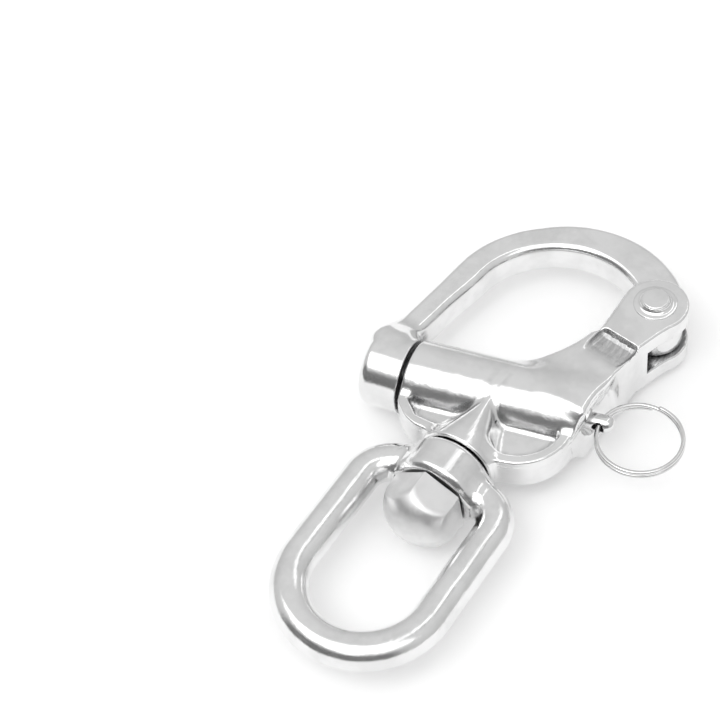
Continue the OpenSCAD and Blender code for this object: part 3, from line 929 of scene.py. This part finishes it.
def map_range(tree, value, low, high, to_low=0.0, to_high=1.0):
    node = tree.nodes.new("ShaderNodeMapRange")
    node.interpolation_type = "SMOOTHSTEP"
    tree.links.new(value, node.inputs["Value"])
    for label, v in zip(("From Min", "From Max", "To Min", "To Max"), (low, high, to_low, to_high)):
        node.inputs[label].default_value = v
    return node.outputs["Result"]


print("node helpers:", ", ".join(f.__name__ for f in (add_group, noise, math_node, map_range)))

# %% [markdown]
# ## Worked metal, a group for every piece
#
# A polished casting isn't a mirror. Its surface swims by a few hundredths of a millimetre,
# it has patches that the mop reached less well, and a haze of very fine scratches. One
# group makes those three from noise of three sizes. It is built once and placed in each
# metal with its own values. It puts out a height and two masks.

# %% Node group for worked metal
PATCH_SCALE = 170.0
SCRATCH_STRETCH = (1.0, 0.12, 1.0)
SCRATCH_TURN = 0.5


def worked_metal_group():
    group, given, made = add_group(
        "worked_metal",
        [
            ("Position", "NodeSocketVector", (0, 0, 0)),
            ("Swim Scale", "NodeSocketFloat", 300.0),
            ("Haze Scale", "NodeSocketFloat", 4000.0),
            ("Haze Depth", "NodeSocketFloat", 0.1),
        ],
        [("Height", "NodeSocketFloat"), ("Patches", "NodeSocketFloat"), ("Scratches", "NodeSocketFloat")],
    )
    where = given.outputs["Position"]
    swim = noise(group, where, given.outputs["Swim Scale"], 1.0)
    patches = map_range(group, noise(group, where, PATCH_SCALE, 3.0, 0.6), 0.38, 0.68)
    stretch = group.nodes.new("ShaderNodeMapping")
    stretch.inputs["Scale"].default_value = SCRATCH_STRETCH
    stretch.inputs["Rotation"].default_value = (0.0, 0.0, SCRATCH_TURN)
    group.links.new(where, stretch.inputs["Vector"])
    scratches = noise(group, stretch.outputs["Vector"], given.outputs["Haze Scale"], 4.0, 0.7)
    haze = math_node(group, "MULTIPLY", scratches, given.outputs["Haze Depth"])
    height = math_node(group, "ADD", swim, haze)
    for label, value in (("Height", height), ("Patches", patches), ("Scratches", scratches)):
        group.links.new(value, made.inputs[label])
    return group


worked_metal = worked_metal_group()
print("group", worked_metal.name, "has", len(worked_metal.nodes), "nodes")

# %% [markdown]
# ## The metals
#
# All pieces are the same stainless steel, but each was finished its own way: the castings
# tumbled and polished, the bolt's head left duller, the plunger turned bright. So they
# share one recipe, with a roughness that runs from shine to dull with the patches. In a
# hollow the metal is rougher, and its colour is darkened toward grey as painted shade.
# Painting that by hand would have to be done again after every change of shape, and the mask comes for
# free.

# %% One recipe for every metal
HAZE_DEPTH = 0.5
HAZE_SCALE = 2200.0
# grey of the painted shade in hollows and between pieces
HOLLOW_SHADE_GREY = (0.20, 0.20, 0.205)


def blend(tree, a, b, factor):
    """A colour between two others, each given plainly or as a socket."""
    node = tree.nodes.new("ShaderNodeMix")
    node.data_type = "RGBA"
    sockets = {k: [s for s in node.inputs if s.name == k and s.type == "RGBA"][0] for k in "AB"}
    for label, value in (("A", a), ("B", b)):
        if isinstance(value, (tuple, list)):
            sockets[label].default_value = (*value, 1)
        else:
            tree.links.new(value, sockets[label])
    tree.links.new(factor, node.inputs["Factor"])
    return [s for s in node.outputs if s.type == "RGBA"][0]


def metal(name, tint, dull, shine, swim, depth):
    """Polished metal whose roughness runs from shine to dull with the patches, with painted shade in
    hollows.
    """
    material = bpy.data.materials.new(name)
    material.use_nodes = True
    tree = material.node_tree
    shader = tree.nodes["Principled BSDF"]
    shader.inputs["Metallic"].default_value = 1.0
    place = tree.nodes.new("ShaderNodeTexCoord")
    work = tree.nodes.new("ShaderNodeGroup")
    work.node_tree = worked_metal
    tree.links.new(place.outputs["Object"], work.inputs["Position"])
    work.inputs["Swim Scale"].default_value = swim
    work.inputs["Haze Scale"].default_value = HAZE_SCALE
    work.inputs["Haze Depth"].default_value = HAZE_DEPTH
    hollow = tree.nodes.new("ShaderNodeAttribute")
    hollow.attribute_name = "hollow"
    # a hollow is rougher and its colour gets painted shade, in patches
    dull_and_painted_shade = math_node(tree, "MULTIPLY", map_range(tree, hollow.outputs["Fac"], 0.12, 0.75),
                          map_range(tree, work.outputs["Scratches"], 0.30, 0.62, 0.35, 1.0))
    colour = blend(tree, tint, [c * 0.90 for c in tint], work.outputs["Patches"])
    # painted shade: the colour is pulled toward grey in hollows and where another piece is near
    colour = blend(tree, colour, HOLLOW_SHADE_GREY, math_node(tree, "MULTIPLY", dull_and_painted_shade, 0.9))
    tree.links.new(colour, shader.inputs["Base Color"])
    rough = map_range(tree, work.outputs["Patches"], 0.0, 1.0, shine, dull)
    rough = math_node(tree, "MULTIPLY_ADD", dull_and_painted_shade, 0.22, rough)
    tree.links.new(rough, shader.inputs["Roughness"])
    bump = tree.nodes.new("ShaderNodeBump")
    bump.inputs["Strength"].default_value = 1.0
    bump.inputs["Distance"].default_value = depth
    tree.links.new(work.outputs["Height"], bump.inputs["Height"])
    tree.links.new(bump.outputs["Normal"], shader.inputs["Normal"])
    return material


# the grey printed here is painted shade for the hollows, not a colour of the steel
print("a hollow's casting skin is", HOLLOW_SHADE_GREY)

# %% [markdown]
# ## A metal for each piece
#
# The numbers after the tint are the roughness of the dull and of the shiny patches, the
# scale of the swimming surface and its depth in metres. The large castings swim slowly, and
# the small rivet and the wires have a finer and shallower swim.

# %% Metals of the pieces
STEEL = (0.86, 0.86, 0.86)
METALS = {
    "body_casting": metal("tumbled_body_steel", STEEL, 0.17, 0.09, 420.0, 0.00006),
    "bail_casting": metal("tumbled_bail_steel", STEEL, 0.16, 0.08, 260.0, 0.00004),
    "eye_casting": metal("tumbled_eye_steel", STEEL, 0.16, 0.08, 300.0, 0.00005),
    "bolt_turned": metal("bolt_steel", (0.82, 0.82, 0.82), 0.46, 0.36, 250.0, 0.00003),
    "plunger_turned": metal("plunger_steel", (0.80, 0.80, 0.80), 0.18, 0.10, 300.0, 0.00001),
    "rivet_turned": metal("rivet_steel", (0.84, 0.84, 0.84), 0.16, 0.08, 500.0, 0.00003),
    "ring_wire": metal("ring_steel", (0.78, 0.78, 0.78), 0.20, 0.12, 500.0, 0.00001),
    "spring_wire": metal("spring_steel", (0.60, 0.60, 0.61), 0.40, 0.30, 500.0, 0.00001),
}
for name, piece in pieces.items():
    piece.data.materials.append(METALS[name])
    print(name, "is made of", METALS[name].name)

# %% [markdown]
# ## The white tent
#
# Polished metal shows its surroundings, so the surroundings are most of the look. The real
# picture was taken in a white tent with a bright panel overhead, and a dark gap low in
# front, where the camera stands. Panels and black cards could be placed as objects. The
# world draws the tent instead, from the direction of each ray: a pale wall that brightens
# upward, a seam with its pole, and a dark gap with ragged edges. Camera rays see plain
# white, as the background is in the picture.

# %% Walls of the tent
def stripe(tree, value, rise, full, fall, end):
    """1 between two values, with soft flanks."""
    return math_node(tree, "MULTIPLY", map_range(tree, value, rise, full),
                     map_range(tree, value, fall, end, 1.0, 0.0))


def tent_walls(tree, x, y, z):
    """Brightness of the cloth: x is to the right, y to the back and z up."""
    level = map_range(tree, z, -0.1, 0.95, 0.74, 0.96)
    # the bright panel: high up, and in front of the zenith
    high = map_range(tree, z, 0.60, 0.68)
    before = map_range(tree, y, -0.12, 0.02, 1.0, 0.0)
    level = math_node(tree, "MULTIPLY_ADD", math_node(tree, "MULTIPLY", high, before), 1.1, level)
    # a bright seam between two cloths, with the pole behind it as a thin dark line
    up = map_range(tree, z, 0.45, 0.60)
    seam = math_node(tree, "MULTIPLY", stripe(tree, x, 0.07, 0.11, 0.26, 0.29), up)
    level = math_node(tree, "MULTIPLY_ADD", seam, 0.9, level)
    pole = math_node(tree, "MULTIPLY", stripe(tree, x, 0.30, 0.32, 0.34, 0.37), up)
    return math_node(tree, "MULTIPLY", level, map_range(tree, pole, 0.0, 1.0, 1.0, 0.35))


def tent_gap(tree, direction, y, z):
    """Where the tent is open, low and in front, and how bright it is behind."""
    ragged = noise(tree, direction, 3.2, 3.0, 0.6)
    height = math_node(tree, "MULTIPLY_ADD", ragged, 0.3, z)
    low = map_range(tree, height, 0.62, 0.74, 1.0, 0.0)
    front = map_range(tree, y, -0.62, -0.30, 1.0, 0.0)
    # what stands behind the gap isn't one black, but a clutter of greys
    clutter = noise(tree, direction, 14.0, 5.0, 0.75)
    return math_node(tree, "MULTIPLY", low, front), map_range(tree, clutter, 0.36, 0.68, 0.02, 0.62)


print("the tent has walls, a panel, a seam with its pole, and a gap")

# %% [markdown]
# ## The tent as a world
#
# The world's Generated coordinates are the direction of the ray, so its three parts are
# right, back and up. Walls and gap are mixed into one strength for a white background, and
# the light path picks plain white for the rays that come straight from the camera.

# %% World
def white_tent():
    world = bpy.data.worlds.new("white_tent")
    bpy.context.scene.world = world
    world.use_nodes = True
    tree = world.node_tree
    tree.nodes.clear()
    link = tree.links.new
    place = tree.nodes.new("ShaderNodeTexCoord")
    direction = place.outputs["Generated"]
    split = tree.nodes.new("ShaderNodeSeparateXYZ")
    link(direction, split.inputs[0])
    x, y, z = split.outputs
    walls = tent_walls(tree, x, y, z)
    gap, clutter = tent_gap(tree, direction, y, z)
    lit = math_node(tree, "MULTIPLY", walls, math_node(tree, "SUBTRACT", 1.0, gap))
    tent = tree.nodes.new("ShaderNodeBackground")
    link(math_node(tree, "MULTIPLY_ADD", gap, clutter, lit), tent.inputs["Strength"])
    white = tree.nodes.new("ShaderNodeBackground")
    white.inputs["Strength"].default_value = 1.0
    rays = tree.nodes.new("ShaderNodeLightPath")
    mix = tree.nodes.new("ShaderNodeMixShader")
    link(rays.outputs["Is Camera Ray"], mix.inputs["Fac"])
    link(tent.outputs[0], mix.inputs[1])
    link(white.outputs[0], mix.inputs[2])
    out = tree.nodes.new("ShaderNodeOutputWorld")
    link(mix.outputs[0], out.inputs["Surface"])
    return world


print("world", white_tent().name, "is in place")

# %% [markdown]
# ## The lamp
#
# The world alone would give no shadow to speak of. One square panel overhead and a little
# in front adds the soft shadow under the shackle and the sheen on its upper faces. Its
# power follows from its size, so that its face stays as bright when it is made larger.

# %% Lamp
PANEL_OFFSET = Vector((-0.05, -0.20, 0.34))
PANEL_WIDTH = 0.16
PANEL_RADIANCE = 2.2


def panel(name, at, aim, width, radiance):
    """A square soft panel whose face shines evenly with the given radiance."""
    lamp = bpy.data.lights.new(name, "AREA")
    lamp.shape = "SQUARE"
    lamp.size = width
    lamp.energy = radiance * math.pi * width * width
    holder = bpy.data.objects.new(name, lamp)
    bpy.context.collection.objects.link(holder)
    holder.location = at
    holder.rotation_mode = "QUATERNION"
    holder.rotation_quaternion = (Vector(aim) - Vector(at)).to_track_quat("-Z", "Y")
    return holder


lamp = panel("overhead_panel", middle + PANEL_OFFSET, middle, PANEL_WIDTH, PANEL_RADIANCE)
print("lamp shines with", round(lamp.data.energy, 3), "W")

# %% [markdown]
# ## The floor
#
# A plain pale sheet under the shackle. It is a real surface, so it carries a soft shadow
# and shows in the metal's lower sides. A shadow catcher would give the shadow, but not the
# reflection. For camera and glossy rays a little light is added to it, which brings the
# open sheet to paper white and leaves the shadow.

# %% Floor
FLOOR_HALF = 0.9
FLOOR_DROP = 0.00005
FLOOR_GLOW = 0.24


def paper_white():
    material = bpy.data.materials.new("paper_white")
    material.use_nodes = True
    tree = material.node_tree
    shader = tree.nodes["Principled BSDF"]
    shader.inputs["Base Color"].default_value = (0.80, 0.80, 0.80, 1)
    shader.inputs["Roughness"].default_value = 0.9
    shader.inputs["Specular IOR Level"].default_value = 0.0
    rays = tree.nodes.new("ShaderNodeLightPath")
    seen = math_node(tree, "MAXIMUM", rays.outputs["Is Camera Ray"], rays.outputs["Is Glossy Ray"])
    glow = tree.nodes.new("ShaderNodeEmission")
    tree.links.new(math_node(tree, "MULTIPLY", seen, FLOOR_GLOW), glow.inputs["Strength"])
    both = tree.nodes.new("ShaderNodeAddShader")
    tree.links.new(shader.outputs[0], both.inputs[0])
    tree.links.new(glow.outputs[0], both.inputs[1])
    tree.links.new(both.outputs[0], tree.nodes["Material Output"].inputs["Surface"])
    return material


def pale_floor(top):
    corners = [(-1, -1), (1, -1), (1, 1), (-1, 1)]
    mesh = bpy.data.meshes.new("floor_sheet")
    mesh.from_pydata([(FLOOR_HALF * x, FLOOR_HALF * y, top) for x, y in corners], [], [(0, 1, 2, 3)])
    floor = bpy.data.objects.new("floor_sheet", mesh)
    bpy.context.collection.objects.link(floor)
    mesh.materials.append(paper_white())
    return floor


pale_floor(cad_lo.z - FLOOR_DROP)
bpy.context.scene.view_settings.view_transform = "Standard"
print("floor lies", round(-cad_lo.z / MM, 2), "mm below the swivel axis")
